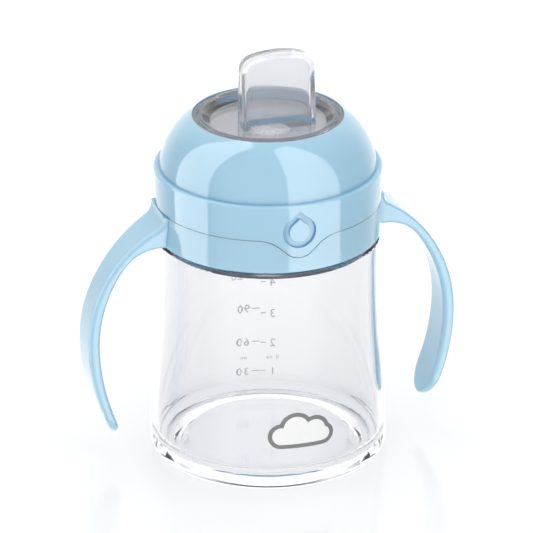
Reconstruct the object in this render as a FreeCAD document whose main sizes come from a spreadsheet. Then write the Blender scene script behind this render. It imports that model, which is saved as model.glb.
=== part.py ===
import FreeCAD, Part
import Sketcher
import math
import os

# A child's cup with a screw-on spout lid and two handles, stood on its foot.
# Millimetres; the origin is the middle of the foot, +Z up, -Y the front, the handles on +X and -X.
# A number is set by itself; a text is a formula of other sizes, which keeps what fits together.
DIMENSIONS = [
    # the clear cup
    ("foot_radius", 34.1, "cup radius just above its foot"),
    ("waist_radius", 31.9, "cup radius below its shoulder"),
    ("foot_height", 5, "height where the side starts to lean in"),
    ("lean_height", 22, "height where the side leans most"),
    ("waist_height", 58, "height where the side is upright again"),
    ("shoulder_height", 66.8, "height of the shoulder"),
    ("cup_wall", 2.1, "wall of the cup"),
    ("floor_thickness", 1.9, "thickness of the cup's floor"),
    ("punt_height", 1.6, "hollow under the floor"),
    ("punt_radius", 27.5, "inner radius of the ring that the cup stands on"),
    ("punt_slope", 4.2, "width of the slope from that ring up into the hollow"),
    ("foot_round", 3.2, "rounding of the foot's outer edge"),
    ("floor_round", 5, "rounding inside the floor's edge"),
    ("shoulder_round", 1.5, "rounding of the shoulder"),
    ("neck_radius", 27.4, "outside of the threaded neck"),
    ("neck_length", 17.2, "length of the neck above the shoulder"),
    ("rim_height", "shoulder_height + neck_length", "height of the drinking rim"),
    ("rim_round", 0.6, "rounding of the rim's edges"),
    # the two-start thread
    ("thread_lead", 8, "rise of the thread in one turn"),
    ("thread_starts", 2, "number of threads"),
    ("thread_rise", 8, "height that one thread climbs"),
    ("thread_climb", 4.7, "height of the neck thread's start above the shoulder"),
    ("thread_base", "shoulder_height + thread_climb", "height of the neck thread's middle where it starts"),
    ("thread_depth", 1.0, "depth of a thread"),
    ("thread_root", 1.9, "width of a thread at its root"),
    ("thread_crest", 0.9, "width of a thread at its crest"),
    ("thread_gap", 0.15, "axial gap on the loaded side of the thread"),
    ("crest_gap", 0.4, "radial gap over a thread's crest"),
    ("embed", 0.4, "how far a thread's root is sunk into its wall"),
    # the screw collar with its dome
    ("band_radius", 32.2, "outside of the band at the seam"),
    ("lip_radius", 32.5, "outside of the band at its upper edge"),
    ("lip_rise", 3.3, "height of the band's upper edge above the cup's rim"),
    ("lip_height", "rim_height + lip_rise", "height of the band's upper edge"),
    ("lip_round", 0.6, "rounding of the band's upper edge"),
    ("dome_radius", 30.9, "radius at the foot of the dome"),
    ("dome_bend", 20.3, "radius of the dome's outline"),
    ("dome_wall", 2.2, "wall of the dome"),
    ("dome_rise", 14.9, "height of the dome above the band"),
    ("crown_height", "lip_height + dome_rise", "height of the dome's opening"),
    ("opening_radius", 21.5, "radius of the dome's opening"),
    ("ledge_depth", 4.6, "depth of the ledge that holds the spout below the opening"),
    ("ledge_height", "crown_height - ledge_depth", "height of the ledge that holds the spout"),
    ("ledge_width", 2.3, "width of that ledge"),
    ("ledge_radius", "opening_radius + ledge_width", "outer radius of that ledge"),
    ("skirt_wall", 1.3, "wall of the threaded skirt"),
    ("skirt_rise", 0.9, "gap between the skirt and the shoulder"),
    ("skirt_bottom", "shoulder_height + skirt_rise", "lower edge of the skirt"),
    ("bead_height", 0.3, "how far a snap bead stands out"),
    ("bead_width", 1.0, "width of a snap bead"),
    ("bead_rise", 2.9, "height of the ring's bead above the shoulder"),
    ("ring_bead", "shoulder_height + bead_rise", "height of the bead that keeps the handle ring"),
    ("seam_drop", 10.3, "height of the band above the seam"),
    ("seam_height", "lip_height - seam_drop", "height of the seam between collar and handle ring"),
    ("seam_gap", 0.15, "gap at that seam"),
    ("tab_depth", 5.4, "how far the collar's front tab dips below the seam"),
    ("tab_foot", 1.9, "half width of the tab's straight foot"),
    ("tab_top", 8.2, "half width of the tab where it leaves the seam"),
    ("tab_round", 4.4, "rounding of the tab's lower corners"),
    ("tab_blend", 9, "rounding of the tab's upper corners"),
    # the drop emblem sunk in the band
    ("drop_rise", 2.2, "height of the drop's round end above the seam"),
    ("drop_height", "seam_height + drop_rise", "height of the middle of the drop's round end"),
    ("drop_radius", 4.8, "radius of the drop's round end"),
    ("drop_point", 6.3, "distance from that middle to the drop's point"),
    ("drop_line", 1.9, "width of the drop's sunken line"),
    ("drop_depth", 0.8, "depth of the drop's sunken line"),
    # the handle ring and its arms
    ("ring_gap", 0.2, "gap between the skirt and the handle ring"),
    ("ring_rise", 0.2, "gap between the handle ring and the shoulder"),
    ("ring_bottom", "shoulder_height + ring_rise", "lower edge of the handle ring"),
    ("ring_round", 0.5, "rounding of the ring's outer edges"),
    ("arm_reach", 54.4, "how far an arm's outside stands from the middle"),
    ("arm_thickness", 3.3, "thickness of an arm where it stands out most"),
    ("arm_inside", "arm_reach - arm_thickness", "how far an arm's inside stands from the middle"),
    ("arm_height", 38, "height where an arm stands out most"),
    ("arm_upper_bend", 41, "radius of an arm's outside above that height"),
    ("arm_lower_bend", 58, "radius of an arm's outside below that height"),
    ("hand_upper_bend", 40, "radius of an arm's inside above that height"),
    ("hand_lower_bend", 62, "radius of an arm's inside below that height"),
    ("elbow_drop", 5, "how far below the ring the inside starts to turn"),
    ("elbow_height", "ring_bottom - elbow_drop", "height where the inside turns towards the ring"),
    ("elbow_bend", 12, "radius of that turn"),
    ("arm_bottom", 9.6, "lower tip of an arm"),
    ("sweep_bend", 4.4, "radius of the sweep from an arm's outside up to the seam"),
    ("root_width", 17, "width of an arm at the ring"),
    ("grip_width", 11.4, "width of an arm at its narrowest"),
    ("grip_height", 54, "height where an arm is narrowest"),
    ("paddle_width", 14.2, "width of an arm's broad end"),
    ("paddle_height", 17.2, "height where the broad end starts to close"),
    ("root_rise", 1, "how far above the seam an arm's flare would reach its root width"),
    ("root_height", "seam_height + root_rise", "height where an arm reaches its root width"),
    ("root_bend", 70, "radius of the flare towards the root"),
    ("arm_round", 1.1, "rounding of an arm's edges"),
    # the soft spout
    ("spout_rise", 19.6, "height of the spout above the dome"),
    ("spout_top", "crown_height + spout_rise", "height of the spout's tip"),
    ("spout_width", 21.3, "width of the spout"),
    ("spout_right", 1.8, "how far the spout stands to the right of the middle"),
    ("spout_front", 2.6, "how far the spout stands in front of the middle"),
    ("spout_foot_depth", 9.6, "depth of the spout at its foot"),
    ("spout_tip_depth", 4.2, "depth of the spout at its tip"),
    ("spout_wall", 1.3, "wall of the spout"),
    ("spout_corner", 2.1, "corner rounding of the spout at its foot"),
    ("tip_corner", 1.3, "corner rounding of the spout at its tip"),
    ("tip_crown", 27, "radius of the tip's crown"),
    ("tip_shoulder", 5.2, "radius of the tip's shoulders"),
    ("tip_skin", 1.5, "wall at the spout's tip"),
    ("slit_length", 8, "length of the drinking slit"),
    ("slit_width", 0.4, "width of the drinking slit"),
    ("dish_depth", 1.9, "depth of the dish below the dome's opening"),
    ("dish_height", "crown_height - dish_depth", "height of the dish around the spout"),
    ("dish_slope", 3.2, "width of the slope from the ridge down to the dish"),
    ("dish_radius", "opening_radius - moat_width - dish_slope", "radius of the dish's floor"),
    ("dish_wall", 1.7, "thickness of the dish's floor"),
    ("ridge_rise", 0.4, "how far the ridge round the dish stands over the opening"),
    ("ridge_height", "crown_height + ridge_rise", "height of the ridge round the dish"),
    ("moat_width", 1.9, "width of edge and groove between opening and ridge"),
    ("ridge_radius", "opening_radius - moat_width", "outer radius of that ridge"),
    ("ridge_width", 0.8, "width of that ridge"),
    ("edge_drop", 0.4, "how far the spout's edge lies below the opening"),
    ("edge_height", "crown_height - edge_drop", "height of the spout's edge inside the opening"),
    ("edge_width", 1.0, "width of that edge"),
    ("moat_depth", 1.0, "how far the groove lies below the opening"),
    ("moat_height", "crown_height - moat_depth", "height of the groove between edge and ridge"),
    ("flange_gap", 0.4, "radial gap round the spout's clamped flange"),
    ("flange_radius", "ledge_radius - flange_gap", "outer radius of the spout's clamped flange"),
    ("flange_wall", 1.6, "thickness of the clamped flange with its gap"),
    ("flange_height", "ledge_height - flange_wall", "underside of the clamped flange"),
    ("chamber_step", 1.2, "how much wider the space under the dish is"),
    ("chamber_radius", "dish_radius + chamber_step", "radius of the space under the dish"),
    ("soft_gap", 0.1, "gap round the silicone pieces"),
    # the valve cage
    ("cage_plate", 1.6, "thickness of the cage's plate"),
    ("cage_step", 0.2, "how much wider the cage is than the spout's flange"),
    ("cage_radius", "flange_radius + cage_step", "radius of the cage at its plate"),
    ("cage_inset", 1.0, "how far the cage's wall stands inside the neck's outside"),
    ("cage_foot_radius", "neck_radius - cage_inset", "radius of the cage's wall at its flange"),
    ("cage_wall", 1.6, "wall of the cage"),
    ("cage_flange", "neck_radius + thread_depth", "outer radius of the cage's flange"),
    ("seal_space", 1.2, "height of the seal's space over the rim"),
    ("cage_flange_height", "rim_height + seal_space", "underside of the cage's flange"),
    ("cage_flange_wall", 1.5, "thickness of the cage's flange"),
    ("port_radius", 5, "radius of the valve's hole in the cage"),
    ("vent_step", 2.4, "distance of the air vent from the space under the dish"),
    ("vent_offset", "chamber_radius + vent_step", "distance of the air vent from the middle"),
    ("vent_radius", 0.7, "radius of the vent hole"),
    ("socket_radius", 1.9, "bore of the vent valve's socket"),
    ("socket_wall", 1.0, "wall of that socket"),
    ("socket_length", 3.8, "length of that socket"),
    # the silicone valves and the seal
    ("valve_flange", 1.4, "overhang of the flow valve's flanges"),
    ("valve_skin", 0.7, "thickness of the flow valve's slit skin"),
    ("valve_lip", 1.1, "thickness of the flow valve's flanges"),
    ("valve_bore", 3.8, "radius of the flow valve's bore"),
    ("valve_slit", 5.6, "length of the slit in the flow valve"),
    ("duck_flange", 2.6, "radius of the vent valve's stop flange"),
    ("duck_lip", 0.9, "thickness of that flange"),
    ("duck_length", 2.8, "length of the vent valve's beak"),
    ("duck_bore", 1.1, "radius of the vent valve's bore"),
    ("duck_edge", 0.9, "thickness of the beak's edge"),
    ("duck_slit", 0.25, "width of the slit in the beak"),
    ("seal_width", 2.3, "width of the seal ring"),
    ("seal_gap", 0.02, "gap over and under the seal ring"),
    ("seal_round", 0.4, "rounding of the seal ring's edges"),
]

# Far enough to pass right through the whole object.
REACH = 200
# How far a cutter runs past the surface that it cuts.
PAST = 1

# Sizes worked out from the sheet.
CUP_LEAN = "(2 * (dims.foot_radius - dims.waist_radius) / (dims.waist_height - dims.foot_height))"
LEAN_RADIUS = f"(dims.foot_radius - {CUP_LEAN} * (dims.lean_height - dims.foot_height) / 2)"
FOOT_BEND = f"((dims.lean_height - dims.foot_height) / {CUP_LEAN})"
WAIST_BEND = f"((dims.waist_height - dims.lean_height) / {CUP_LEAN})"
NECK_BORE = "(dims.neck_radius - dims.cup_wall)"
FLOOR_TOP = "(dims.punt_height + dims.floor_thickness)"
COLLAR_BORE = "(dims.neck_radius + dims.thread_depth + dims.crest_gap)"
COLLAR_CREST = "(dims.neck_radius + dims.crest_gap)"
COLLAR_THREAD_BASE = (
    "(dims.thread_base - (dims.thread_root + dims.thread_crest) / 2 - dims.thread_gap"
    " + (dims.thread_root - dims.thread_crest) * dims.crest_gap / dims.thread_depth / 2)"
)
SKIRT_RADIUS = f"({COLLAR_BORE} + dims.skirt_wall)"
RING_BORE = f"({SKIRT_RADIUS} + dims.ring_gap)"
PLATE_BOTTOM = "(dims.flange_height - dims.cage_plate)"
SOCKET_BOTTOM = f"({PLATE_BOTTOM} - dims.socket_length)"
TAB_SPREAD = "(2 * dims.tab_top)"

doc = FreeCAD.newDocument("sippy_cup")
sheet = doc.addObject("Spreadsheet::Sheet", "dims")
for row, (alias, value, note) in enumerate(DIMENSIONS, start=1):
    sheet.set(f"A{row}", note)
    sheet.set(f"B{row}", f"={value}" if isinstance(value, str) else str(value))
    sheet.setAlias(f"B{row}", alias)
doc.recompute()


def measure(expression):
    return float(sheet.evalExpression(str(expression)))


def new_body(label):
    body = doc.addObject("PartDesign::Body", label)
    body.Label = label
    return body


def new_sketch(body, name, plane, offset):
    sketch = body.newObject("Sketcher::SketchObject", name)
    support = next(item for item in body.Origin.OriginFeatures if item.Role == plane)
    sketch.AttachmentSupport = (support, [""])
    sketch.MapMode = "FlatFace"
    sketch.setExpression(".AttachmentOffset.Base.z", str(offset))
    return sketch


def pin_point(sketch, geometry, end, across, up):
    """Fix one end of a sketch line or arc at a place worked out from the sheet."""
    for kind, expression in (("DistanceX", across), ("DistanceY", up)):
        constraint = Sketcher.Constraint(kind, -1, 1, geometry, end, measure(expression))
        index = sketch.addConstraint(constraint)
        sketch.setExpression(f"Constraints[{index}]", str(expression))


def arc_between(begin, finish, bend):
    """An arc from one point to another; a positive bend turns left, a negative one right."""
    chord = finish - begin
    left = FreeCAD.Vector(-chord.y, chord.x, 0).normalize()
    sink = math.sqrt(bend * bend - chord.Length * chord.Length / 4)
    middle = (begin + finish) / 2 + left * math.copysign(sink, bend)
    first, last = (begin, finish) if bend > 0 else (finish, begin)
    angles = [math.atan2(point.y - middle.y, point.x - middle.x) for point in (first, last)]
    circle = Part.Circle(middle, FreeCAD.Vector(0, 0, 1), abs(bend))
    return Part.ArcOfCircle(circle, angles[0], angles[1])


def add_loop(sketch, corners):
    """Draw a closed outline. A corner is (across, up) or (across, up, bend of the arc that leads to it)."""
    points = [FreeCAD.Vector(measure(corner[0]), measure(corner[1]), 0) for corner in corners]
    stretches = []
    for number, begin in enumerate(points):
        following = (number + 1) % len(corners)
        finish = points[following]
        if len(corners[following]) == 3:
            bend = corners[following][2]
            size = measure(bend)
            geometry = sketch.addGeometry(arc_between(begin, finish, size), False)
            index = sketch.addConstraint(Sketcher.Constraint("Radius", geometry, abs(size)))
            sketch.setExpression(f"Constraints[{index}]", f"abs({bend})")
            stretches.append((geometry, 1, 2) if size > 0 else (geometry, 2, 1))
        else:
            geometry = sketch.addGeometry(Part.LineSegment(begin, finish), False)
            stretches.append((geometry, 1, 2))
    for number, corner in enumerate(corners):
        before = stretches[number - 1]
        after = stretches[number]
        sketch.addConstraint(Sketcher.Constraint("Coincident", before[0], before[2], after[0], after[1]))
        pin_point(sketch, after[0], after[1], corner[0], corner[1])


def outline(body, name, plane, loops, offset=0):
    sketch = new_sketch(body, name, plane, offset)
    for corners in loops:
        add_loop(sketch, corners)
    return sketch


def disc(body, name, centre, radius, offset):
    """A circle on a level plane."""
    sketch = new_sketch(body, name, "XY_Plane", offset)
    middle = FreeCAD.Vector(measure(centre[0]), measure(centre[1]), 0)
    circle = Part.Circle(middle, FreeCAD.Vector(0, 0, 1), measure(radius))
    geometry = sketch.addGeometry(circle, False)
    index = sketch.addConstraint(Sketcher.Constraint("Radius", geometry, measure(radius)))
    sketch.setExpression(f"Constraints[{index}]", str(radius))
    pin_point(sketch, geometry, 3, centre[0], centre[1])
    return sketch


def revolve(body, name, corners):
    sketch = outline(body, f"{name}_outline", "XZ_Plane", [corners])
    feature = body.newObject("PartDesign::Revolution", name)
    feature.Profile = sketch
    feature.ReferenceAxis = (sketch, ["V_Axis"])
    feature.Angle = 360
    return feature


def pad(body, name, sketch, length, symmetric=False):
    feature = body.newObject("PartDesign::Pad", name)
    feature.Profile = sketch
    feature.SideType = "Symmetric" if symmetric else "One side"
    feature.setExpression("Length", str(length))
    return feature


def pocket(body, name, sketch, depth, upward=False, symmetric=False):
    feature = body.newObject("PartDesign::Pocket", name)
    feature.Profile = sketch
    feature.SideType = "Symmetric" if symmetric else "One side"
    feature.Reversed = upward
    feature.setExpression("Length", str(depth))
    return feature


def loft(body, name, kind, sketches):
    feature = body.newObject(f"PartDesign::{kind}", name)
    feature.Profile = sketches[0]
    feature.Sections = sketches[1:]
    feature.Ruled = True
    return feature


def fillet(body, name, base, chosen, radius):
    """Round the edges of a feature that the given test picks."""
    doc.recompute()
    names = [f"Edge{number}" for number, edge in enumerate(base.Shape.Edges, start=1) if chosen(edge)]
    feature = body.newObject("PartDesign::Fillet", name)
    feature.Base = (base, names)
    feature.setExpression("Radius", str(radius))
    return feature


def level_circle(radius, height):
    """A test that picks the level circular edge of one radius at one height."""
    def chosen(edge):
        if edge.Curve.TypeId != "Part::GeomCircle":
            return False
        same_radius = abs(edge.Curve.Radius - measure(radius)) < 1e-4
        same_height = abs(edge.Curve.Center.z - measure(height)) < 1e-4
        return same_radius and same_height
    return chosen


def any_of(*tests):
    return lambda edge: any(test(edge) for test in tests)


def helix_thread(body, name, wall, crest, base):
    """A two-start thread that stands on a round wall and rises as it turns right-handed."""
    root_half = "dims.thread_root / 2"
    crest_half = "dims.thread_crest / 2"
    outwards = measure(crest) > measure(wall)
    sunk = f"({wall} - dims.embed)" if outwards else f"({wall} + dims.embed)"
    corners = [
        (sunk, f"{base} - {root_half}"),
        (wall, f"{base} - {root_half}"),
        (crest, f"{base} - {crest_half}"),
        (crest, f"{base} + {crest_half}"),
        (wall, f"{base} + {root_half}"),
        (sunk, f"{base} + {root_half}"),
    ]
    sketch = outline(body, f"{name}_outline", "XZ_Plane", [corners])
    helix = body.newObject("PartDesign::AdditiveHelix", name)
    helix.Profile = sketch
    helix.ReferenceAxis = (sketch, ["V_Axis"])
    helix.Mode = "pitch-height-angle"
    helix.setExpression("Pitch", "dims.thread_lead")
    helix.setExpression("Height", "dims.thread_rise")
    pattern = body.newObject("PartDesign::PolarPattern", f"{name}s")
    pattern.Originals = [helix]
    pattern.Axis = (sketch, ["V_Axis"])
    pattern.Angle = 360
    pattern.setExpression("Occurrences", "dims.thread_starts")
    body.Tip = pattern


def boolean(kind, label, base, tool):
    feature = doc.addObject(f"Part::{kind}", label)
    feature.Label = label
    feature.Base = base
    feature.Tool = tool
    return feature


def make_cup_body():
    body = new_body("cup_body")
    inner_waist = "(dims.waist_radius - dims.cup_wall)"
    inner_foot = "(dims.foot_radius - dims.cup_wall)"
    shell = revolve(body, "shell", [
        (0, "dims.punt_height"),
        ("dims.punt_radius - dims.punt_slope", "dims.punt_height"),
        ("dims.punt_radius", 0),
        ("dims.foot_radius", 0),
        ("dims.foot_radius", "dims.foot_height"),
        (LEAN_RADIUS, "dims.lean_height", FOOT_BEND),
        ("dims.waist_radius", "dims.waist_height", f"-{WAIST_BEND}"),
        ("dims.waist_radius", "dims.shoulder_height"),
        ("dims.neck_radius", "dims.shoulder_height"),
        ("dims.neck_radius", "dims.rim_height"),
        (NECK_BORE, "dims.rim_height"),
        (NECK_BORE, "dims.shoulder_height - dims.cup_wall"),
        (inner_waist, "dims.shoulder_height - dims.cup_wall"),
        (inner_waist, "dims.waist_height"),
        (f"{LEAN_RADIUS} - dims.cup_wall", "dims.lean_height", f"{WAIST_BEND} + dims.cup_wall"),
        (inner_foot, FLOOR_TOP, f"-({FOOT_BEND} - dims.cup_wall)"),
        (0, FLOOR_TOP),
    ])
    foot_edge = fillet(body, "foot_edge", shell, level_circle("dims.foot_radius", 0), "dims.foot_round")
    floor_corner = level_circle(inner_foot, FLOOR_TOP)
    floor_edge = fillet(body, "floor_edge", foot_edge, floor_corner, "dims.floor_round")
    shoulder = level_circle("dims.waist_radius", "dims.shoulder_height")
    shoulder_edge = fillet(body, "shoulder_edge", floor_edge, shoulder, "dims.shoulder_round")
    rim_outside = level_circle("dims.neck_radius", "dims.rim_height")
    rim_inside = level_circle(NECK_BORE, "dims.rim_height")
    fillet(body, "rim_edges", shoulder_edge, any_of(rim_outside, rim_inside), "dims.rim_round")
    thread_crest = "(dims.neck_radius + dims.thread_depth)"
    helix_thread(body, "neck_thread", "dims.neck_radius", thread_crest, "dims.thread_base")
    return body


def make_tab_block(label, gap):
    """The front tab's outline as a block that runs forwards from the middle, grown by a gap."""
    body = new_body(label)
    seam = f"(dims.seam_height - {gap})"
    above = "(dims.seam_height + dims.tab_depth / 2)"
    corners = [
        (f"-(dims.tab_foot + {gap})", f"{seam} - dims.tab_depth"),
        (f"dims.tab_foot + {gap}", f"{seam} - dims.tab_depth"),
        (f"dims.tab_top + {gap}", seam),
        (TAB_SPREAD, seam),
        (TAB_SPREAD, above),
        (f"-{TAB_SPREAD}", above),
        (f"-{TAB_SPREAD}", seam),
        (f"-(dims.tab_top + {gap})", seam),
    ]
    block = pad(body, f"{label}_block", outline(body, f"{label}_sketch", "XZ_Plane", [corners]), REACH)

    def upright_edge(across, up):
        def chosen(edge):
            ends = [vertex.Point for vertex in edge.Vertexes]
            same_side = all(abs(abs(end.x) - measure(across)) < 1e-4 for end in ends)
            return same_side and all(abs(end.z - measure(up)) < 1e-4 for end in ends)
        return chosen

    foot_corner = upright_edge(f"dims.tab_foot + {gap}", f"{seam} - dims.tab_depth")
    foot_edges = fillet(body, f"{label}_foot", block, foot_corner, "dims.tab_round")
    fillet(body, f"{label}_top", foot_edges, upright_edge(f"dims.tab_top + {gap}", seam), "dims.tab_blend")
    return body


def make_tube(label, inner, outer, bottom, top):
    """A plain ring between two radii and two heights."""
    body = new_body(label)
    revolve(body, f"{label}_ring", [(inner, bottom), (outer, bottom), (outer, top), (inner, top)])
    return body


def make_drop_block():
    """The sunken line of the drop emblem, as a block that runs forwards from the middle."""
    body = new_body("drop_block")
    loops = []
    for inset in ("0", "dims.drop_line"):
        radius = f"(dims.drop_radius - {inset})"
        point = f"(dims.drop_point * {radius} / dims.drop_radius)"
        side = f"({radius} * sqrt(1 - ({radius} / {point})^2))"
        rise = f"(dims.drop_height + {radius} * {radius} / {point})"
        loops.append([
            (0, f"dims.drop_height + {point}"),
            (f"-{side}", rise),
            (0, f"dims.drop_height - {radius}", radius),
            (side, rise, radius),
        ])
    sketch = outline(body, "drop_sketch", "XZ_Plane", loops)
    pad(body, "drop_line", sketch, REACH)
    return body


def make_screw_collar():
    shell = new_body("collar_shell")
    bead_top = "dims.cage_flange_height - dims.bead_width / 4"
    solid = revolve(shell, "collar", [
        (COLLAR_BORE, "dims.skirt_bottom"),
        (SKIRT_RADIUS, "dims.skirt_bottom"),
        (SKIRT_RADIUS, "dims.ring_bead - dims.bead_width / 2"),
        (f"{SKIRT_RADIUS} + dims.bead_height", "dims.ring_bead"),
        (SKIRT_RADIUS, "dims.ring_bead + dims.bead_width / 2"),
        (SKIRT_RADIUS, "dims.seam_height"),
        ("dims.band_radius", "dims.seam_height"),
        ("dims.lip_radius", "dims.lip_height"),
        ("dims.dome_radius", "dims.lip_height"),
        ("dims.opening_radius", "dims.crown_height", "dims.dome_bend"),
        ("dims.opening_radius", "dims.ledge_height"),
        ("dims.ledge_radius", "dims.ledge_height"),
        (COLLAR_BORE, "dims.lip_height", "-(dims.dome_bend - dims.dome_wall)"),
        (COLLAR_BORE, bead_top),
        (f"{COLLAR_BORE} - dims.bead_height * 2", f"{bead_top} - dims.bead_width / 2"),
        (COLLAR_BORE, f"{bead_top} - dims.bead_width"),
    ])
    fillet(shell, "lip_edge", solid, level_circle("dims.lip_radius", "dims.lip_height"), "dims.lip_round")
    helix_thread(shell, "collar_thread", COLLAR_BORE, COLLAR_CREST, COLLAR_THREAD_BASE)
    tab_block = make_tab_block("tab_block", 0)
    front = make_tube("front_ring", SKIRT_RADIUS, "dims.band_radius",
                      f"dims.seam_height - dims.tab_depth - {PAST}", f"dims.seam_height + {PAST}")
    tab = boolean("Common", "front_tab", front, tab_block)
    joined = boolean("Fuse", "collar_and_tab", shell, tab)
    rind = make_tube("band_rind", "dims.band_radius - dims.drop_depth", f"dims.lip_radius + {PAST}",
                     "dims.seam_height - dims.tab_depth", f"dims.lip_height + {PAST}")
    groove = boolean("Common", "drop_groove", rind, make_drop_block())
    return boolean("Cut", "screw_collar", joined, groove)


def make_handle_ring():
    body = new_body("ring_and_arms")
    root = f"({RING_BORE} - dims.cup_wall)"
    upper_outside = "(dims.arm_reach - dims.arm_upper_bend)"
    seam = "(dims.seam_height - dims.seam_gap)"
    sweep_middle = "(dims.band_radius + dims.ring_gap + dims.sweep_bend)"
    reach = f"({sweep_middle} - {upper_outside})"
    both_bends = "(dims.arm_upper_bend + dims.sweep_bend)"
    rise_to_middle = f"sqrt({both_bends}^2 - {reach}^2)"
    sweep_out = f"({upper_outside} + dims.arm_upper_bend * {reach} / {both_bends})"
    sweep_height = f"(dims.arm_height + dims.arm_upper_bend * {rise_to_middle} / {both_bends})"
    middle_over_seam = f"(dims.arm_height + {rise_to_middle} - {seam})"
    root_out = f"({sweep_middle} - sqrt(dims.sweep_bend^2 - {middle_over_seam}^2))"
    upper_inside = "(dims.arm_inside - dims.hand_upper_bend)"
    elbow = (f"({upper_inside}"
             " + sqrt(dims.hand_upper_bend^2 - (dims.elbow_height - dims.arm_height)^2))")
    rise = "(dims.ring_bottom - dims.elbow_height)"
    elbow_run = f"sqrt(dims.elbow_bend^2 - (dims.elbow_bend - {rise})^2)"
    tip_out = ("(dims.arm_reach - dims.arm_lower_bend"
               " + sqrt(dims.arm_lower_bend^2 - (dims.arm_bottom - dims.arm_height)^2))")
    tip_in = ("(dims.arm_inside - dims.hand_lower_bend"
              " + sqrt(dims.hand_lower_bend^2 - (dims.arm_bottom - dims.arm_height)^2))")
    side = outline(body, "arm_side", "XZ_Plane", [[
        (root, seam),
        (root, "dims.ring_bottom"),
        (f"{elbow} - {elbow_run}", "dims.ring_bottom"),
        (elbow, "dims.elbow_height", "-dims.elbow_bend"),
        ("dims.arm_inside", "dims.arm_height", "-dims.hand_upper_bend"),
        (tip_in, "dims.arm_bottom", "-dims.hand_lower_bend"),
        (tip_out, "dims.arm_bottom"),
        ("dims.arm_reach", "dims.arm_height", "dims.arm_lower_bend"),
        (sweep_out, sweep_height, "dims.arm_upper_bend"),
        (root_out, seam, "-dims.sweep_bend"),
    ]])
    pad(body, "arm", side, "dims.root_width", symmetric=True)
    trims = []
    half_tip = "(dims.paddle_height - dims.arm_bottom)"
    tip_bend = f"((dims.paddle_width^2 / 4 + {half_tip}^2) / dims.paddle_width)"
    for sign in ("", "-"):
        turn = "" if sign == "" else "-"
        back = "-" if sign == "" else ""
        trims.append([
            (0, "dims.arm_bottom"),
            (f"{sign}dims.paddle_width / 2", "dims.paddle_height", f"{turn}{tip_bend}"),
            (f"{sign}dims.grip_width / 2", "dims.grip_height"),
            (f"{sign}dims.root_width / 2", "dims.root_height", f"{back}dims.root_bend"),
            (f"{sign}dims.root_width", "dims.root_height"),
            (f"{sign}dims.root_width", "0"),
            (0, "0"),
        ])
    trimmed = None
    for number, corners in enumerate(trims):
        sketch = outline(body, f"arm_front_{number}", "YZ_Plane", [corners])
        trimmed = pocket(body, f"arm_trim_{number}", sketch, REACH, upward=True)
    doc.recompute()

    clear_of_band = measure("dims.band_radius * 1.1")

    def long_edge(edge):
        """An edge that runs along the free part of the arm."""
        box = edge.BoundBox
        free = box.XMin > clear_of_band or box.ZMin < measure("dims.grip_height")
        return free and box.XMax > clear_of_band

    fillet(body, "arm_edges", trimmed, long_edge, "dims.arm_round")
    mirror = body.newObject("PartDesign::Mirrored", "other_arm")
    mirror.TransformMode = "Whole shape"
    mirror.MirrorPlane = (next(item for item in body.Origin.OriginFeatures if item.Role == "YZ_Plane"), [""])
    body.Tip = mirror
    groove = "(dims.ring_bead + dims.seam_gap)"
    ring_outer = "dims.band_radius"
    revolve(body, "ring", [
        (RING_BORE, "dims.ring_bottom"),
        (f"{ring_outer} - dims.ring_round", "dims.ring_bottom"),
        (ring_outer, "dims.ring_bottom + dims.ring_round", "dims.ring_round"),
        (ring_outer, seam),
        (RING_BORE, seam),
    ])
    bore = disc(body, "ring_bore_circle", (0, 0), RING_BORE, 0)
    pocket(body, "ring_bore", bore, REACH, upward=True)
    sketch = outline(body, "bead_groove_outline", "XZ_Plane", [[
        (f"{RING_BORE} - {PAST}", f"{groove} - dims.bead_width"),
        (RING_BORE, f"{groove} - dims.bead_width"),
        (f"{RING_BORE} + dims.bead_height", groove),
        (RING_BORE, f"{groove} + dims.bead_width"),
        (f"{RING_BORE} - {PAST}", f"{groove} + dims.bead_width"),
    ]])
    cut = body.newObject("PartDesign::Groove", "bead_groove")
    cut.Profile = sketch
    cut.ReferenceAxis = (sketch, ["V_Axis"])
    cut.Angle = 360
    notch = make_tab_block("notch_block", "dims.seam_gap")
    return boolean("Cut", "handle_ring", body, notch)


def spout_section(body, name, width, depth, corner, height):
    """A rounded rectangle on a level plane, drawn round the spout's own middle."""
    across = f"({width} / 2)"
    deep = f"({depth} / 2)"
    corners = []
    for sign_x, sign_y, side_first in ((1, -1, False), (1, 1, True), (-1, 1, False), (-1, -1, True)):
        front = (f"dims.spout_right + {sign_x} * ({across} - {corner})",
                 f"{sign_y} * {deep} - dims.spout_front")
        side = (f"dims.spout_right + {sign_x} * {across}",
                f"{sign_y} * ({deep} - {corner}) - dims.spout_front")
        if side_first:
            corners += [side, (*front, corner)]
        else:
            corners += [front, (*side, corner)]
    return outline(body, name, "XY_Plane", [corners], height)


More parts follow.
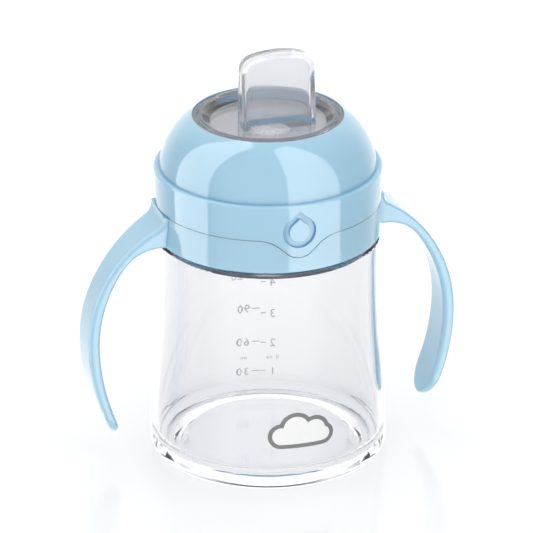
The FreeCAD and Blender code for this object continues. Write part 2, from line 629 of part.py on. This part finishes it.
def make_spout_form(label, inset, skin, bottom):
    """A flat tapered tongue with a crowned tip, shrunk by an inset, from a level up to the tip."""
    tongue = new_body(f"{label}_tongue")
    inside = f"2 * {inset}"
    sections = [
        spout_section(tongue, f"{label}_foot", f"(dims.spout_width - {inside})",
                      f"(dims.spout_foot_depth - {inside})", f"(dims.spout_corner - {inset} / 2)", bottom),
        spout_section(tongue, f"{label}_tip", f"(dims.spout_width - {inside})",
                      f"(dims.spout_tip_depth - {inside})", f"(dims.tip_corner - {inset} / 2)",
                      f"dims.spout_top + {PAST}"),
    ]
    loft(tongue, f"{label}_sides", "AdditiveLoft", sections)
    top = f"(dims.spout_top - {skin})"
    crown = f"(dims.tip_crown - {skin})"
    shoulder = f"(dims.tip_shoulder - {skin})"
    half = f"(dims.spout_width / 2 - {inset})"
    crown_middle = f"({top} - {crown})"
    shoulder_x = f"({half} - {shoulder})"
    between = f"({crown} - {shoulder})"
    shoulder_z = f"({crown_middle} + sqrt({between}^2 - {shoulder_x}^2))"
    meet_x = f"({shoulder_x} * {crown} / {between})"
    meet_z = f"({crown_middle} + ({shoulder_z} - {crown_middle}) * {crown} / {between})"
    arch = new_body(f"{label}_arch")
    sketch = outline(arch, f"{label}_arch_outline", "XZ_Plane", [[
        (f"dims.spout_right - {half}", f"{bottom} - {PAST}"),
        (f"dims.spout_right + {half}", f"{bottom} - {PAST}"),
        (f"dims.spout_right + {half}", shoulder_z),
        (f"dims.spout_right + {meet_x}", meet_z, shoulder),
        (f"dims.spout_right - {meet_x}", meet_z, crown),
        (f"dims.spout_right - {half}", shoulder_z, shoulder),
    ]])
    depth = "(dims.spout_foot_depth + dims.spout_front) * 2"
    pad(arch, f"{label}_arch_block", sketch, depth, symmetric=True)
    return boolean("Common", f"{label}_form", tongue, arch)


def make_spout():
    body = new_body("spout_disc")
    plug = "(dims.opening_radius - dims.soft_gap)"
    revolve(body, "disc", [
        (0, "dims.dish_height - dims.dish_wall"),
        ("dims.chamber_radius", "dims.dish_height - dims.dish_wall"),
        ("dims.chamber_radius", "dims.flange_height"),
        ("dims.flange_radius", "dims.flange_height"),
        ("dims.flange_radius", "dims.ledge_height - dims.soft_gap / 2"),
        (plug, "dims.ledge_height - dims.soft_gap / 2"),
        (plug, "dims.edge_height"),
        (f"{plug} - dims.edge_width", "dims.edge_height"),
        (f"{plug} - dims.edge_width", "dims.moat_height"),
        ("dims.ridge_radius", "dims.moat_height"),
        ("dims.ridge_radius", "dims.ridge_height"),
        ("dims.ridge_radius - dims.ridge_width", "dims.ridge_height"),
        ("dims.dish_radius", "dims.dish_height"),
        (0, "dims.dish_height"),
    ])
    vent = disc(body, "vent_circle", (0, "dims.vent_offset"), "dims.vent_radius", "dims.flange_height")
    pocket(body, "vent", vent, f"dims.ridge_height - dims.flange_height + {PAST}", upward=True)
    inside_dish = "(dims.dish_height - dims.dish_wall / 2)"
    below_dish = "(dims.dish_height - dims.dish_wall * 2)"
    outside = make_spout_form("spout", 0, 0, inside_dish)
    cavity = make_spout_form("cavity", "dims.spout_wall", "dims.tip_skin", below_dish)
    slit = new_body("slit_blade")
    blade = outline(slit, "slit_outline", "XY_Plane", [[
        ("dims.spout_right - dims.slit_length / 2", "-dims.spout_front - dims.slit_width / 2"),
        ("dims.spout_right + dims.slit_length / 2", "-dims.spout_front - dims.slit_width / 2"),
        ("dims.spout_right + dims.slit_length / 2", "dims.slit_width / 2 - dims.spout_front"),
        ("dims.spout_right - dims.slit_length / 2", "dims.slit_width / 2 - dims.spout_front"),
    ]], "dims.spout_top - dims.tip_skin * 2")
    pad(slit, "slit_block", blade, "dims.tip_skin * 3")
    joined = boolean("Fuse", "disc_and_spout", body, outside)
    hollowed = boolean("Cut", "hollow_spout", joined, cavity)
    return boolean("Cut", "spout", hollowed, slit)


def make_valve_cage():
    body = new_body("valve_cage")
    flange_top = "(dims.cage_flange_height + dims.cage_flange_wall)"
    revolve(body, "cage", [
        ("dims.port_radius", PLATE_BOTTOM),
        ("dims.cage_radius - dims.cage_wall", PLATE_BOTTOM),
        ("dims.cage_foot_radius - dims.cage_wall", "dims.cage_flange_height"),
        ("dims.cage_flange", "dims.cage_flange_height"),
        ("dims.cage_flange", flange_top),
        ("dims.cage_foot_radius", flange_top),
        ("dims.cage_radius", "dims.flange_height"),
        ("dims.port_radius", "dims.flange_height"),
    ])
    outside = disc(body, "socket_outside", (0, "dims.vent_offset"), "dims.socket_radius + dims.socket_wall",
                   SOCKET_BOTTOM)
    pad(body, "socket", outside, "dims.socket_length + dims.cage_plate / 2")
    inside = disc(body, "socket_inside", (0, "dims.vent_offset"), "dims.socket_radius", SOCKET_BOTTOM)
    pocket(body, "socket_bore", inside, "dims.socket_length", upward=True)
    hole = disc(body, "vent_circle", (0, "dims.vent_offset"), "dims.vent_radius", SOCKET_BOTTOM)
    pocket(body, "vent_hole", hole, REACH, upward=True)
    return body


def make_flow_valve():
    body = new_body("flow_valve")
    waist = "(dims.port_radius - dims.soft_gap / 2)"
    brim = "(dims.port_radius + dims.valve_flange)"
    top = "(dims.flange_height + dims.valve_lip)"
    bottom = f"({PLATE_BOTTOM} - dims.valve_lip)"
    revolve(body, "grommet", [
        (0, f"{top} - dims.valve_skin"),
        ("dims.valve_bore", f"{top} - dims.valve_skin"),
        ("dims.valve_bore", bottom),
        (brim, bottom),
        (brim, PLATE_BOTTOM),
        (waist, PLATE_BOTTOM),
        (waist, "dims.flange_height"),
        (brim, "dims.flange_height"),
        (brim, top),
        (0, top),
    ])
    slit = outline(body, "slit_outline", "XY_Plane", [[
        ("-dims.valve_slit / 2", "-dims.duck_slit / 2"),
        ("dims.valve_slit / 2", "-dims.duck_slit / 2"),
        ("dims.valve_slit / 2", "dims.duck_slit / 2"),
        ("-dims.valve_slit / 2", "dims.duck_slit / 2"),
    ]], bottom)
    pocket(body, "slit", slit, f"{top} - {bottom} + {PAST}", upward=True)
    return body


def make_vent_valve():
    """A soft duckbill: a tube in the socket, a stop flange, and a beak that closes to a slit edge."""
    body = new_body("vent_valve")
    middle = (0, "dims.vent_offset")
    tube = "(dims.socket_radius - dims.soft_gap / 2)"
    stop = f"({SOCKET_BOTTOM} - dims.duck_lip)"
    beak = f"({stop} - dims.duck_length)"
    stem = disc(body, "stem_circle", middle, tube, beak)
    pad(body, "stem", stem, f"{PLATE_BOTTOM} - {beak} - dims.soft_gap")
    flange = disc(body, "flange_circle", middle, "dims.duck_flange", stop)
    pad(body, "flange", flange, "dims.duck_lip")
    for number, sign in enumerate(("-", "+")):
        near = f"dims.vent_offset {sign} dims.duck_edge / 2"
        far = f"dims.vent_offset {sign} {tube}"
        beyond = f"dims.vent_offset {sign} dims.duck_flange"
        sketch = outline(body, f"beak_side_{number}", "YZ_Plane", [[
            (near, f"{beak} - {PAST}"),
            (near, beak),
            (far, stop),
            (beyond, stop),
            (beyond, f"{beak} - {PAST}"),
        ]])
        pocket(body, f"beak_cut_{number}", sketch, "dims.duck_flange * 3", symmetric=True)
    bore = disc(body, "bore_circle", middle, "dims.duck_bore", stop)
    pocket(body, "bore", bore, REACH, upward=True)
    slit = outline(body, "slit_outline", "XY_Plane", [[
        ("-dims.duck_bore", "dims.vent_offset - dims.duck_slit / 2"),
        ("dims.duck_bore", "dims.vent_offset - dims.duck_slit / 2"),
        ("dims.duck_bore", "dims.vent_offset + dims.duck_slit / 2"),
        ("-dims.duck_bore", "dims.vent_offset + dims.duck_slit / 2"),
    ]], beak)
    pocket(body, "slit", slit, "dims.duck_length + dims.duck_lip", upward=True)
    return body


def make_seal_ring():
    body = new_body("seal_ring")
    middle = "(dims.neck_radius - dims.cup_wall / 2)"
    bottom = "(dims.rim_height + dims.seal_gap)"
    top = "(dims.cage_flange_height - dims.seal_gap)"
    inner = f"({middle} - dims.seal_width / 2)"
    outer = f"({middle} + dims.seal_width / 2)"
    ring = revolve(body, "ring", [(inner, bottom), (outer, bottom), (outer, top), (inner, top)])
    edges = any_of(*[level_circle(radius, height) for radius in (inner, outer) for height in (bottom, top)])
    fillet(body, "ring_edges", ring, edges, "dims.seal_round")
    return body


def write_parts(pieces):
    """Check every object of the document and every piece, then write the pieces."""
    doc.recompute()
    for item in doc.Objects:
        if "Invalid" in item.State or "Error" in item.State:
            raise RuntimeError(f"{item.Label} failed: {item.State}")
    for piece in pieces:
        if piece.Shape.isNull() or not piece.Shape.isValid():
            raise RuntimeError(f"{piece.Label} has no valid shape")
        if len(piece.Shape.Solids) != 1:
            raise RuntimeError(f"{piece.Label} is not one solid")
    os.makedirs("parts", exist_ok=True)
    for piece in pieces:
        piece.Shape.exportStep(f"parts/{piece.Label}.step")
        print(piece.Label, len(piece.Shape.Solids), "solid", round(piece.Shape.Volume, 1), "mm3")


write_parts([
    make_cup_body(),
    make_screw_collar(),
    make_handle_ring(),
    make_spout(),
    make_valve_cage(),
    make_flow_valve(),
    make_vent_valve(),
    make_seal_ring(),
])
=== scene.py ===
import bmesh
import bpy
import math
from mathutils import Matrix, Vector
from mathutils.bvhtree import BVHTree


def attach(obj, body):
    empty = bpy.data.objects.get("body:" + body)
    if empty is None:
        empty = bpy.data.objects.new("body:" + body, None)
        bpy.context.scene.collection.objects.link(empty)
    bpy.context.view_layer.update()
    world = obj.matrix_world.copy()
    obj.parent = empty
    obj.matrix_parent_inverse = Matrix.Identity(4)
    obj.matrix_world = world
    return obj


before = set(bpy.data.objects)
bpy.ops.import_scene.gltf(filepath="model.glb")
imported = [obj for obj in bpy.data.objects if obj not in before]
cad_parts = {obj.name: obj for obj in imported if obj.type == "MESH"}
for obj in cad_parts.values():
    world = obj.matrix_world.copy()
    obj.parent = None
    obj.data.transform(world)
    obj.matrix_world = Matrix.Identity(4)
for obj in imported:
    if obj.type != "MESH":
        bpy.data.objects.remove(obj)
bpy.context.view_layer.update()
scene = bpy.context.scene
MM = 0.001


# Camera and studio: a long lens looks down a little from the left of the front. The floor is a wide
# sheet of glazed white acrylic under an even white sky, and two tall soft boxes draw the bright bands
# that run down the glossy plastic.
def looking(azimuth, elevation):
    """The way from the object towards an azimuth, counted from the front, and an elevation."""
    level = math.cos(elevation)
    return Vector((math.sin(azimuth) * level, -math.cos(azimuth) * level, math.sin(elevation)))


CAMERA_AZIMUTH = math.radians(-16)
CAMERA_ELEVATION = math.radians(23.8)
CAMERA_DISTANCE = 1300 * MM
AIM_HEIGHT = 57 * MM
LONG_LENS = 307.3
LIGHT_BOUNCES = 24

camera_data = bpy.data.cameras.new("product_camera")
camera_data.sensor_width = 36
camera_data.lens = LONG_LENS
camera_data.shift_x = -0.0028
camera_data.shift_y = -0.0115
camera = bpy.data.objects.new("product_camera", camera_data)
scene.collection.objects.link(camera)
towards_camera = looking(CAMERA_AZIMUTH, CAMERA_ELEVATION)
camera.location = Vector((0, 0, AIM_HEIGHT)) + towards_camera * CAMERA_DISTANCE
camera.rotation_euler = (-towards_camera).to_track_quat("-Z", "Y").to_euler()
camera_data.clip_end = 20
scene.camera = camera
scene.view_settings.view_transform = "Standard"
# Light passes a dozen clear walls on its way through the cup and lid.
scene.cycles.max_bounces = LIGHT_BOUNCES
scene.cycles.transmission_bounces = LIGHT_BOUNCES
scene.cycles.glossy_bounces = LIGHT_BOUNCES
scene.cycles.transparent_max_bounces = LIGHT_BOUNCES


def linear(hex_colour):
    """A colour written as sRGB hex, as the linear values that the shaders take."""
    channels = [int(hex_colour[place:place + 2], 16) / 255 for place in (0, 2, 4)]
    lit = [c / 12.92 if c <= 0.04045 else ((c + 0.055) / 1.055) ** 2.4 for c in channels]
    return lit + [1]


def add_node(material, kind, settings=None, links=None):
    """Adds a shader node, sets its sockets and properties, and links its inputs to other nodes."""
    tree = material.node_tree
    node = tree.nodes.new(kind)
    for name, value in (settings or {}).items():
        if isinstance(name, str) and hasattr(node, name) and name not in node.inputs:
            setattr(node, name, value)
        else:
            node.inputs[name].default_value = value
    for name, (source, output) in (links or {}).items():
        tree.links.new(source.outputs[output], node.inputs[name])
    return node


def new_material(name):
    material = bpy.data.materials.new(name)
    material.use_nodes = True
    material.node_tree.nodes.clear()
    return material


def let_light_through(material, shader):
    """Leaves out the shadows of clear walls, so that light reaches what stands behind them."""
    path = add_node(material, "ShaderNodeLightPath")
    either = add_node(material, "ShaderNodeMath", {"operation": "MAXIMUM"},
                      {0: (path, "Is Shadow Ray"), 1: (path, "Is Diffuse Ray")})
    open_air = add_node(material, "ShaderNodeBsdfTransparent")
    return add_node(material, "ShaderNodeMixShader",
                    links={0: (either, 0), 1: (shader, 0), 2: (open_air, 0)})


def finish_material(material, shader):
    output = add_node(material, "ShaderNodeOutputMaterial")
    material.node_tree.links.new(shader.outputs[0], output.inputs["Surface"])
    return material


# White sky, a little darker overhead and much darker to the left and right, where a studio hangs grey
# cards, so that the edges of clear walls have something to show.
world = bpy.data.worlds.new("studio_sky")
world.use_nodes = True
world.node_tree.nodes.clear()
scene.world = world
sky_place = add_node(world, "ShaderNodeTexCoord")
sky_split = add_node(world, "ShaderNodeSeparateXYZ", links={"Vector": (sky_place, "Generated")})
sky_ramp = add_node(world, "ShaderNodeMapRange",
                    {"From Min": 0.1, "From Max": 0.9, "To Min": 1.45, "To Max": 1.15},
                    {"Value": (sky_split, "Z")})
sky_side = add_node(world, "ShaderNodeVectorMath", {"operation": "DOT_PRODUCT"},
                    {0: (sky_place, "Generated")})
sky_side.inputs[1].default_value = looking(CAMERA_AZIMUTH + math.radians(90), 0)
sky_aside = add_node(world, "ShaderNodeMath", {"operation": "ABSOLUTE"}, {0: (sky_side, "Value")})
sky_flags = add_node(world, "ShaderNodeMapRange",
                     {"interpolation_type": "SMOOTHSTEP", "From Min": 0.55, "From Max": 0.95,
                      "To Min": 1.0, "To Max": 0.3}, {"Value": (sky_aside, "Value")})
sky_strength = add_node(world, "ShaderNodeMath", {"operation": "MULTIPLY"},
                        {0: (sky_ramp, "Result"), 1: (sky_flags, "Result")})
sky_light = add_node(world, "ShaderNodeBackground", {"Color": (1, 1, 1, 1)},
                     {"Strength": (sky_strength, "Value")})
add_node(world, "ShaderNodeOutputWorld", links={"Surface": (sky_light, "Background")})


# The soft boxes light the blue plastic only, as if flags kept them off the clear walls.
BOX_DISTANCE = 0.9
BOX_TALL = 6
BOX_MIDDLE = 2
BOX_RADIANCE = 4.2
blue_plastic = bpy.data.collections.new("blue_plastic")
for blue_node in ("screw_collar", "handle_ring"):
    blue_plastic.objects.link(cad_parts[blue_node])


def soft_box(name, azimuth, span):
    """A tall light panel beside the object, seen from it over a span. Only its mirror image counts."""
    light = bpy.data.lights.new(name, "AREA")
    light.shape = "RECTANGLE"
    light.size = 2 * BOX_DISTANCE * math.tan(span / 2)
    light.size_y = BOX_TALL
    light.energy = BOX_RADIANCE * math.pi * light.size * light.size_y
    lamp = bpy.data.objects.new(name, light)
    scene.collection.objects.link(lamp)
    outwards = looking(azimuth, 0)
    lamp.location = outwards * BOX_DISTANCE + Vector((0, 0, BOX_MIDDLE))
    lamp.rotation_euler = (-outwards).to_track_quat("-Z", "Y").to_euler()
    lamp.visible_camera = False
    lamp.visible_diffuse = False
    lamp.light_linking.receiver_collection = blue_plastic


soft_box("left_soft_box", CAMERA_AZIMUTH - math.radians(85.5), math.radians(45))
soft_box("right_soft_box", CAMERA_AZIMUTH + math.radians(49), math.radians(57))

# The sheet lies a hair below the foot, so that the two don't share a plane.
FLOOR_REACH = 6
FLOOR_DROP = 0.05 * MM
floor_mesh = bpy.data.meshes.new("studio_floor")
sheet = bmesh.new()
bmesh.ops.create_grid(sheet, x_segments=1, y_segments=1, size=FLOOR_REACH)
bmesh.ops.translate(sheet, verts=sheet.verts, vec=(0, 0, -FLOOR_DROP))
sheet.to_mesh(floor_mesh)
sheet.free()
floor = bpy.data.objects.new("studio_floor", floor_mesh)
scene.collection.objects.link(floor)
# The panels' mirror images reach below the floor, so the plastic doesn't mirror the floor.
floor.visible_glossy = False
glazed = new_material("glazed_white_acrylic")
glazed_shader = add_node(glazed, "ShaderNodeBsdfPrincipled",
                         {"Base Color": linear("fdfdfd"), "Roughness": 0.12, "Specular IOR Level": 0.35})
floor_mesh.materials.append(finish_material(glazed, glazed_shader))


# Cup body: a clear copolyester cup, injection moulded with a thick floor over a shallow hollow and a
# two-start thread on its neck. The melt's flow leaves the faintest waves in its walls.
def dress(node, material):
    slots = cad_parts[node].data.materials
    slots.clear()
    slots.append(material)


def moulded_skin(material, wave, strength, smooth, rough):
    """Noise of a real size in millimetres, as a faint bump, and as a roughness between two values."""
    place = add_node(material, "ShaderNodeTexCoord")
    waves = add_node(material, "ShaderNodeTexNoise", {"Scale": 1 / (wave * MM), "Detail": 2.0},
                     {"Vector": (place, "Object")})
    bump = add_node(material, "ShaderNodeBump", {"Strength": strength, "Distance": 0.1 * MM},
                    {"Height": (waves, "Fac")})
    gloss = add_node(material, "ShaderNodeMapRange",
                     {"From Min": 0.3, "From Max": 0.7, "To Min": smooth, "To Max": rough},
                     {"Value": (waves, "Fac")})
    return bump, gloss


clear = new_material("clear_moulded_copolyester")
clear_bump, clear_gloss = moulded_skin(clear, 30, 0.05, 0.0, 0.012)
clear_shader = add_node(clear, "ShaderNodeBsdfPrincipled",
                        {"Base Color": linear("f6f6f8"), "IOR": 1.5, "Specular IOR Level": 0.35,
                         "Transmission Weight": 1.0},
                        {"Normal": (clear_bump, "Normal"), "Roughness": (clear_gloss, "Result")})
dress("cup_body", finish_material(clear, let_light_through(clear, clear_shader)))


# Printed scale: pale grey pad-printed ink on the back of the cup, read through the clear wall. Its
# numbers are millilitres on one side of the marks and fluid ounces on the other.
cup_mesh = bmesh.new()
cup_mesh.from_mesh(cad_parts["cup_body"].data)
cup_skin = BVHTree.FromBMesh(cup_mesh)
cup_mesh.free()
CUP_RADIUS = 31.9 * MM
INK_LIFT = 0.03 * MM
INK_THICK = 0.03 * MM
# A digit is this share of its font's size.
DIGIT_SHARE = 0.7


def lay_on_cup(print_mesh, azimuth, height):
    """Wraps a flat print round the cup, with its middle at an azimuth and a height."""
    for corner in print_mesh.verts:
        turn = azimuth + corner.co.x / CUP_RADIUS
        up = height + corner.co.y
        outwards = looking(turn, 0)
        skin = cup_skin.ray_cast(outwards * 2 * CUP_RADIUS + Vector((0, 0, up)), -outwards)[0]
        corner.co = skin + outwards * (INK_LIFT + corner.co.z)


def stroke(length, width):
    """A straight printed line, flat on its back."""
    line = bmesh.new()
    bmesh.ops.create_cube(line, size=1, matrix=Matrix.Diagonal((length, width, INK_THICK, 1)))
    return line


def lettering(words, tall):
    """Printed characters that start at the middle, with digits of the given height."""
    curve = bpy.data.curves.new("lettering", "FONT")
    curve.body = words
    curve.size = tall / DIGIT_SHARE
    curve.extrude = INK_THICK / 2
    curve.space_character = 1.1
    holder = bpy.data.objects.new("lettering", curve)
    scene.collection.objects.link(holder)
    flat = bpy.data.meshes.new_from_object(holder)
    characters = bmesh.new()
    characters.from_mesh(flat)
    bmesh.ops.translate(characters, verts=characters.verts, vec=(0, -tall / 2, 0))
    bpy.data.objects.remove(holder)
    bpy.data.meshes.remove(flat)
    return characters


def printed_piece(name, prints, ink, body):
    """Joins laid prints into one piece that rides on a body."""
    whole = bmesh.new()
    for print_mesh in prints:
        part = bpy.data.meshes.new("print")
        print_mesh.to_mesh(part)
        whole.from_mesh(part)
        bpy.data.meshes.remove(part)
        print_mesh.free()
    mesh = bpy.data.meshes.new(name)
    whole.to_mesh(mesh)
    whole.free()
    mesh.materials.append(ink)
    piece = bpy.data.objects.new(name, mesh)
    scene.collection.objects.link(piece)
    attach(piece, body)
    return piece


# Azimuth of each column, counted from the front: the number, the two marks and the ounce digit.
NUMBER_TURN = math.radians(180 - 6.3)
ML_MARK_TURN = math.radians(180 - 9.4)
OZ_MARK_TURN = math.radians(180 - 13.5)
OZ_DIGIT_TURN = math.radians(180 - 20.2)
DIGIT_TALL = 2.7 * MM
LINE_WIDTH = 0.3 * MM
ML_MARK_LENGTH = 2.4 * MM
OZ_MARK_LENGTH = 1.5 * MM
# The two unit names stand between the first marks, each a little aside of its column.
UNIT_TALL = 1.35 * MM
UNIT_HEIGHT = 11.6 * MM
UNIT_ASIDE = math.radians(1.5)
scale_prints = []


def print_at(print_mesh, azimuth, height):
    lay_on_cup(print_mesh, azimuth, height)
    scale_prints.append(print_mesh)


for number, digit, ml_height, oz_height in (("30", "1", 6.9, 6.9), ("60", "2", 16.9, 16.4),
                                            ("90", "3", 28.0, 26.3), ("120", "4", 39.1, 36.6)):
    print_at(lettering(number, DIGIT_TALL), NUMBER_TURN, ml_height * MM)
    print_at(stroke(ML_MARK_LENGTH, LINE_WIDTH), ML_MARK_TURN, ml_height * MM)
    print_at(stroke(OZ_MARK_LENGTH, LINE_WIDTH), OZ_MARK_TURN, oz_height * MM)
    print_at(lettering(digit, DIGIT_TALL), OZ_DIGIT_TURN, oz_height * MM)
print_at(lettering("ml", UNIT_TALL), NUMBER_TURN + UNIT_ASIDE, UNIT_HEIGHT)
print_at(lettering("fl oz", UNIT_TALL), OZ_DIGIT_TURN - UNIT_ASIDE, UNIT_HEIGHT)

# The ink is lighter towards the top of the scale, and the pad leaves it a little uneven.
scale_ink = new_material("pale_grey_pad_printed_ink")
ink_place = add_node(scale_ink, "ShaderNodeTexCoord")
ink_split = add_node(scale_ink, "ShaderNodeSeparateXYZ", links={"Vector": (ink_place, "Object")})
ink_fade = add_node(scale_ink, "ShaderNodeMapRange",
                    {"From Min": 28 * MM, "From Max": 40 * MM, "To Min": 0.0, "To Max": 0.8},
                    {"Value": (ink_split, "Z")})
ink_colour = add_node(scale_ink, "ShaderNodeMix",
                      {"data_type": "RGBA", 6: linear("b0b1b4"), 7: linear("cfd0d2")},
                      {"Factor": (ink_fade, "Result")})
ink_bump, ink_gloss = moulded_skin(scale_ink, 0.4, 0.2, 0.4, 0.55)
scale_ink_shader = add_node(scale_ink, "ShaderNodeBsdfPrincipled", {"IOR": 1.5},
                            {"Base Color": (ink_colour, 2), "Normal": (ink_bump, "Normal"),
                             "Roughness": (ink_gloss, "Result")})
finish_material(scale_ink, scale_ink_shader)
printed_piece("printed_scale", scale_prints, scale_ink, "cup")


# Printed cloud: a plain cloud in grey outline over white ink, pad-printed on the front of the cup low
# down, where such cups carry a picture.
CLOUD_HEIGHT = 18.9 * MM
CLOUD_LINE = 1.2 * MM
# Each round puff: across, up, and its radius, in millimetres.
CLOUD_PUFFS = ((-5.2, -1.6, 3.2), (-1.2, 0.6, 4.1), (4.0, -0.4, 3.6), (6.2, -2.0, 2.7))
CLOUD_BASE = -4.75 * MM
BASE_MIDDLE = 0.5 * MM
BASE_WIDTH = 11.4 * MM
# Larger than the cloud, and its lower face cuts the cloud's straight base.
ROOM_WIDTH = 40 * MM
ROOM_TALL = 20 * MM
STRIP_WIDTH = 0.8 * MM
STRIPS_REACH = 12 * MM


def solid_of(first, second, operation):
    """Joins, cuts or crosses two closed meshes, and gives the result as a bmesh."""
    holders = []
    for shape in (first, second):
        mesh = bpy.data.meshes.new("cloud_shape")
        shape.to_mesh(mesh)
        shape.free()
        holder = bpy.data.objects.new("cloud_shape", mesh)
        scene.collection.objects.link(holder)
        holders.append(holder)
    cutter = holders[0].modifiers.new("cloud_shape", "BOOLEAN")
    cutter.operation = operation
    cutter.object = holders[1]
    cutter.solver = "EXACT"
    cutter.use_self = True
    evaluated = holders[0].evaluated_get(bpy.context.evaluated_depsgraph_get())
    result = bmesh.new()
    result.from_mesh(evaluated.to_mesh())
    evaluated.to_mesh_clear()
    for holder in holders:
        bpy.data.objects.remove(holder)
    return result


def cloud_shape(grow):
    """A flat cloud, grown outwards by a distance: puffs joined into one outline over a straight base."""
    puffs = bmesh.new()
    for across, up, radius in CLOUD_PUFFS:
        bmesh.ops.create_cone(puffs, cap_ends=True, segments=64, radius1=radius * MM + grow,
                              radius2=radius * MM + grow, depth=INK_THICK,
                              matrix=Matrix.Translation((across * MM, up * MM, 0)))
    bmesh.ops.create_cube(puffs, size=1, matrix=Matrix.Translation((BASE_MIDDLE, CLOUD_BASE / 2, 0))
                          @ Matrix.Diagonal((BASE_WIDTH, -CLOUD_BASE + grow * 2, INK_THICK, 1)))
    base = CLOUD_BASE - grow
    room = bmesh.new()
    bmesh.ops.create_cube(room, size=1, matrix=Matrix.Translation((0, base + ROOM_TALL / 2, 0))
                          @ Matrix.Diagonal((ROOM_WIDTH, ROOM_TALL, INK_THICK * 3, 1)))
    return solid_of(puffs, room, "INTERSECT")


def strips(print_mesh):
    """Divides a wide flat print into narrow upright strips, so that it can bend round the cup."""
    for number in range(int(2 * STRIPS_REACH / STRIP_WIDTH)):
        everything = print_mesh.verts[:] + print_mesh.edges[:] + print_mesh.faces[:]
        bmesh.ops.bisect_plane(print_mesh, geom=everything,
                               plane_co=(number * STRIP_WIDTH - STRIPS_REACH, 0, 0), plane_no=(1, 0, 0))
    return print_mesh


def cloud_ink(name, colour):
    ink = new_material(name)
    bump, gloss = moulded_skin(ink, 0.4, 0.2, 0.3, 0.45)
    shader = add_node(ink, "ShaderNodeBsdfPrincipled", {"Base Color": linear(colour), "IOR": 1.5},
                      {"Normal": (bump, "Normal"), "Roughness": (gloss, "Result")})
    return finish_material(ink, shader)


cloud_line = strips(solid_of(cloud_shape(CLOUD_LINE / 2), cloud_shape(-CLOUD_LINE / 2), "DIFFERENCE"))
cloud_fill = strips(cloud_shape(-CLOUD_LINE / 2))
lay_on_cup(cloud_line, 0, CLOUD_HEIGHT)
lay_on_cup(cloud_fill, 0, CLOUD_HEIGHT)
grey_ink = cloud_ink("grey_pad_printed_ink", "7d7d7f")
white_ink = cloud_ink("white_pad_printed_ink", "f4f4f4")
printed_piece("cloud_outline", [cloud_line], grey_ink, "cup")
printed_piece("cloud_white", [cloud_fill], white_ink, "cup")


# Screw collar: sky-blue polypropylene, moulded in a polished tool, so it is glossy with the faintest
# waviness. Light goes a few millimetres into it, which softens its shaded edges.
def polypropylene(name, colour, painted_groove_shade, wave, smooth, rough):
    """Glossy plastic with painted shade: its colour turns darker in narrow grooves, where ambient
    occlusion finds them.
    """
    plastic = new_material(name)
    bump, gloss = moulded_skin(plastic, wave, 0.12, smooth, rough)
    # Painted shade: where ambient occlusion finds a narrow groove, the colour is mixed towards the
    # darker groove colour.
    hollow = add_node(plastic, "ShaderNodeAmbientOcclusion", {"Distance": 1.5 * MM, "samples": 8})
    plain_colour_share = add_node(plastic, "ShaderNodeMapRange",
                         {"From Min": 0.45, "From Max": 0.95, "To Min": 0.0, "To Max": 1.0},
                         {"Value": (hollow, "AO")})
    colour_with_painted_shade = add_node(plastic, "ShaderNodeMix",
                    {"data_type": "RGBA", 6: linear(painted_groove_shade), 7: linear(colour)},
                    {"Factor": (plain_colour_share, "Result")})
    shader = add_node(plastic, "ShaderNodeBsdfPrincipled",
                      {"IOR": 1.49, "Subsurface Weight": 0.25,
                       "Subsurface Radius": (0.7, 0.9, 1.0), "Subsurface Scale": 5 * MM},
                      {"Base Color": (colour_with_painted_shade, 2), "Normal": (bump, "Normal"),
                       "Roughness": (gloss, "Result")})
    return finish_material(plastic, shader)


# The darker blue is painted shade for the collar's grooves.
dress("screw_collar",
      polypropylene("sky_blue_polished_polypropylene", "a1c9df", "76a8c8", 17, 0.06, 0.11))


# Handle ring: the same polypropylene from its own tool, one ring with two arms. It is handled most, so
# its gloss is a little softer.
# The darker blue is painted shade for the handle ring's grooves.
dress("handle_ring",
      polypropylene("sky_blue_handle_polypropylene", "a3cadf", "7aabca", 12, 0.08, 0.14))


# Valve cage: grey polypropylene, moulded in a finely etched tool. It shows through the spout's dish, and
# its matt skin draws no sharp mirror image there.
etched = new_material("etched_grey_polypropylene")
etched_bump, etched_gloss = moulded_skin(etched, 0.5, 0.3, 0.35, 0.5)
etched_shader = add_node(etched, "ShaderNodeBsdfPrincipled",
                         {"Base Color": linear("7b7e86"), "IOR": 1.49},
                         {"Normal": (etched_bump, "Normal"), "Roughness": (etched_gloss, "Result")})
dress("valve_cage", finish_material(etched, etched_shader))


# Spout: clear silicone, moulded in a smooth tool. The soft rubber is faintly milky, and its skin is a
# little less glossy than hard plastic.
def silicone(name, colour, through, wave, smooth, rough):
    rubber = new_material(name)
    bump, gloss = moulded_skin(rubber, wave, 0.1, smooth, rough)
    shader = add_node(rubber, "ShaderNodeBsdfPrincipled",
                      {"Base Color": linear(colour), "IOR": 1.41, "Specular IOR Level": 0.35,
                       "Transmission Weight": through},
                      {"Normal": (bump, "Normal"), "Roughness": (gloss, "Result")})
    return finish_material(rubber, let_light_through(rubber, shader))


dress("spout", silicone("clear_moulded_silicone", "eff0f3", 0.93, 14, 0.05, 0.1))


# Flow valve, vent valve and seal ring: the same rubber, moulded with a fine matt skin that keeps the
# little pieces from sticking to each other.
dress("flow_valve", silicone("matt_valve_silicone", "e6e7ea", 0.6, 1.5, 0.25, 0.35))
dress("vent_valve", silicone("matt_vent_silicone", "e6e7ea", 0.6, 1.0, 0.25, 0.35))
dress("seal_ring", silicone("matt_seal_silicone", "e9eaee", 0.7, 2.0, 0.2, 0.3))
